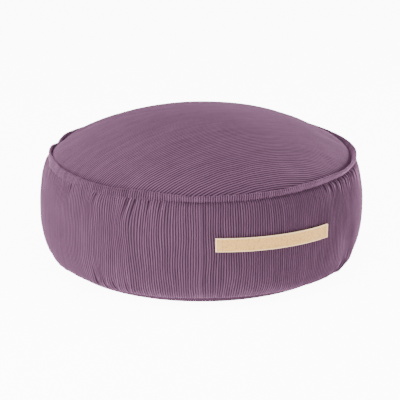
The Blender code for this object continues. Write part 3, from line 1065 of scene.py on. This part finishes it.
def make_handle():
    """Spin the tape a millimetre thick, then give it its thickness and stand-off along its length."""
    half_angle = HANDLE_STATIONS[-1].angle
    profile = [(BAND_RADIUS + depth * 0.001, HANDLE_HEIGHT + across * HANDLE_WIDTH / 2)
               for across, depth in handle_section()]
    bm = spin_cloth(profile, HANDLE_START, HANDLE_END - HANDLE_START, HANDLE_STEPS, 1, closed=True)
    fill_holes(bm)
    mesh = to_mesh(bm, "handle_webbing")
    points = mesh_coords(mesh)
    angle = bearing_of(points)
    depth = (np.hypot(points[:, 0], points[:, 1]) - BAND_RADIUS) / 0.001
    stand_off, thickness = handle_station(angle)
    radius = BAND_RADIUS + stand_off + depth * thickness
    moved = outwards(angle) * radius[:, None]
    moved[:, 2] = points[:, 2] - HANDLE_SLOPE / 2 * angle / half_angle
    set_coords(mesh, settle(moved))
    length = np.radians(angle - (HANDLE_START + HANDLE_END) / 2) * BAND_RADIUS * 1000
    width = (points[:, 2] - HANDLE_HEIGHT) * 1000
    store_uv(mesh, "tape", length, width)
    face_outwards(mesh)
    piece = new_piece("handle_webbing", mesh, webbing_cloth)
    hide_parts("handle")
    return piece


make_handle()

# %% [markdown]
# ## Stitches
#
# A stitch is a short, fat, slightly sunk capsule.  One is modelled, and it is repeated across each end
# of the handle, pointing along the line of sewing.

# %% Sewing
STITCH_LENGTH, STITCH_THICKNESS = 0.0029, 0.0009
STITCH_ANGLE, STITCH_SHARE = 19.4, 0.89            # where a row sits, and as a share of the half length
STITCHES, STITCH_GAP = 7, 0.0034


def stitch_template():
    bm = bmesh.new()
    bmesh.ops.create_uvsphere(bm, u_segments=6, v_segments=5, radius=0.5)
    bmesh.ops.rotate(bm, verts=bm.verts[:], matrix=Matrix.Rotation(np.pi / 2, 3, "Y"))
    bmesh.ops.scale(bm, verts=bm.verts[:], vec=(STITCH_LENGTH, STITCH_THICKNESS, STITCH_THICKNESS))
    return to_mesh(bm, "stitch")


def sew(name, places, mat):
    """One stitch at each (point, along, outwards) of places, joined into one piece."""
    template = stitch_template()
    bm = bmesh.new()
    for point, along, out in places:
        x = Vector(along).normalized()
        z = (Vector(out) - x * Vector(out).dot(x)).normalized()
        y = z.cross(x)
        turn = Matrix((x, y, z)).transposed().to_4x4()
        turn.translation = Vector(point)
        before = len(bm.verts)
        bm.from_mesh(template)
        bm.verts.ensure_lookup_table()
        bmesh.ops.transform(bm, matrix=turn, verts=bm.verts[before:])
    return new_piece(name, to_mesh(bm, name), mat)


def handle_stitches():
    """A row of stitches across each end of the handle."""
    places = []
    for side in (-1, 1):
        angle = np.array([side * STITCH_ANGLE])
        stand_off, thickness = handle_station(angle)
        radius = BAND_RADIUS + stand_off[0] + thickness[0] * 0.97
        out = outwards(angle)[0]
        for step in range(STITCHES):
            rise = (step - STITCHES // 2) * STITCH_GAP
            height = HANDLE_HEIGHT + rise - HANDLE_SLOPE / 2 * side * STITCH_SHARE
            point = settle((out * radius + np.array([0, 0, height]))[None])[0]
            places.append((point, (0, 0, 1), out))
    return places


sew("handle_stitches", handle_stitches(), cream_thread)

# %% [markdown]
# ## Camera, floor and light
#
# The pouf stands on a plain white floor.  Five soft round lamps light it: a key from the upper left, low
# ones at the left, the front and the right, which bring up the edges of the band, and one overhead.
# The floor glows a little on the pouf, and much more where it is looked at, so that it stays plain white.

# %% Camera
CAMERA_ELEVATION = 17.99
CAMERA_DISTANCE = 3.067
CAMERA_PIVOT = Vector((0.0, 0.0, 0.1))            # it is moved back from here
CAMERA_AIM = Vector((0.0, 0.0, 0.1051))
CAMERA_SHIFT = 0.0023                             # to the left of its aim
CAMERA_LENS = 146.7


def direction(bearing, elevation):
    turn, rise = np.radians(bearing), np.radians(elevation)
    return Vector((np.sin(turn) * np.cos(rise), -np.cos(turn) * np.cos(rise), np.sin(rise)))


def look(thing, way):
    """Turn a camera or a lamp to look that way."""
    thing.rotation_euler = way.to_track_quat("-Z", "Y").to_euler()


turn = np.radians(CAMERA_BEARING)
right = Vector((np.cos(turn), np.sin(turn), 0))
camera = add_object("camera", bpy.data.cameras.new("camera"))
set_all(camera.data, sensor_width=36, lens=CAMERA_LENS)
camera.location = CAMERA_PIVOT + direction(CAMERA_BEARING, CAMERA_ELEVATION) * CAMERA_DISTANCE
look(camera, CAMERA_AIM - right * CAMERA_SHIFT - camera.location)
bpy.context.scene.camera = camera
print("camera at", [round(value, 3) for value in camera.location])

# %% Floor
FLOOR_SIZE = 8.0
FLOOR_GLOW, FLOOR_GLOW_SEEN = 1.18, 9.2

bm = bmesh.new()
bmesh.ops.create_grid(bm, x_segments=1, y_segments=1, size=FLOOR_SIZE)
floor = add_object("floor", to_mesh(bm, "floor"))
mat, tree, shader = new_material("white floor")
set_inputs(shader, Base_Color=(0.95, 0.95, 0.95, 1), Roughness=0.9, Emission_Color=(1, 1, 1, 1))
seen = add_node(tree, "ShaderNodeLightPath").outputs["Is Camera Ray"]
glow = multiply_add(tree, seen, FLOOR_GLOW_SEEN, FLOOR_GLOW)
tree.links.new(glow, shader.inputs["Emission Strength"])
floor.data.materials.append(mat)

# %% Lights
Lamp = namedtuple("Lamp", "name bearing elevation size power")
LAMP_DISTANCE = 2.6
WORLD_LIGHT = 0.17
LAMPS = [Lamp(*row) for row in (
    # name, bearing from the camera, elevation, size, power
    ("key", -50, 42, 1.5, 46),
    ("low left", -112, 5, 0.9, 38),
    ("low front", -24, 12, 1.4, 60),
    ("overhead", 10, 74, 1.6, 50),
    ("right", 104, 9, 1.2, 112),
)]

for lamp in LAMPS:
    away = direction(lamp.bearing + CAMERA_BEARING, lamp.elevation)
    light = bpy.data.lights.new(lamp.name, "AREA")
    set_all(light, shape="DISK", size=lamp.size, energy=lamp.power)
    holder = add_object(lamp.name, light)
    holder.location = away * LAMP_DISTANCE
    look(holder, -away)
print(len(LAMPS), "lamps,", sum(lamp.power for lamp in LAMPS), "W in all")

world = bpy.data.worlds.new("studio")
world.use_nodes = True
set_inputs(world.node_tree.nodes["Background"], Color=(1, 1, 1, 1), Strength=WORLD_LIGHT)
bpy.context.scene.world = world
